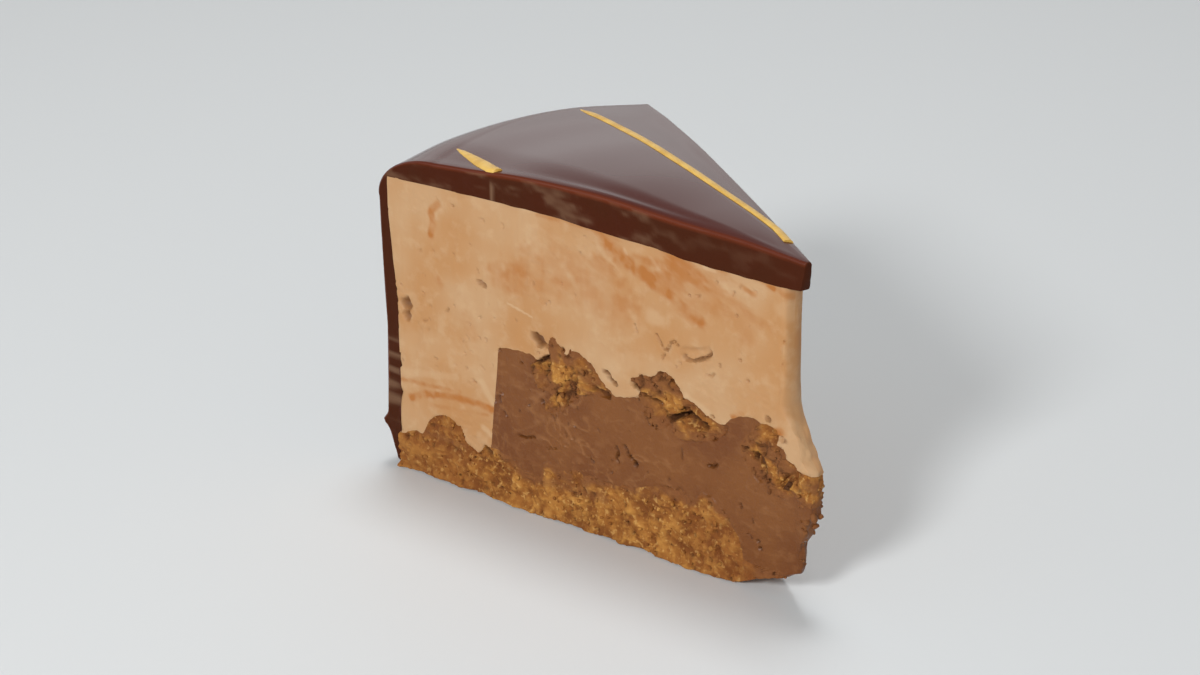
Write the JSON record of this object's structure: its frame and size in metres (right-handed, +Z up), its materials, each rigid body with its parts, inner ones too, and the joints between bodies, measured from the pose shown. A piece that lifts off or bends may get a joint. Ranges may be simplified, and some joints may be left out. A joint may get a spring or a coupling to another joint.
{
  "type": "chocolate torte slice",
  "caption": "Wedge of a glazed mousse torte: dark glaze with yellow piped stripes, caramel mousse, milk chocolate filling, biscuit chunks and a crumbly biscuit base.",
  "frame": {"origin": "centre of the slice's box, on the surface that the slice stands on", "axes": "+X from the glazed outer side to the tip along the middle of the wedge, +Z up, the cut faces look to -Y and +Y"},
  "size_m": [0.0956, 0.0589, 0.0647],
  "materials": {
    "dark_glaze": "high gloss dark chocolate mirror glaze",
    "caramel_mousse": "soft matte set mousse with fine bubbles",
    "milk_chocolate": "dense satin chocolate cream",
    "golden_biscuit": "rough crumbly baked biscuit",
    "yellow_icing": "satin piped icing"
  },
  "bodies": {
    "root": {"glaze": "dark_glaze", "mousse": "caramel_mousse", "chocolate_filling": "milk_chocolate", "biscuit_base": "golden_biscuit", "biscuit_chunk_1": "golden_biscuit", "biscuit_chunk_2": "golden_biscuit", "biscuit_chunk_3": "golden_biscuit", "biscuit_chunk_4": "golden_biscuit", "biscuit_chunk_5": "golden_biscuit"}
  },
  "joints": []
}
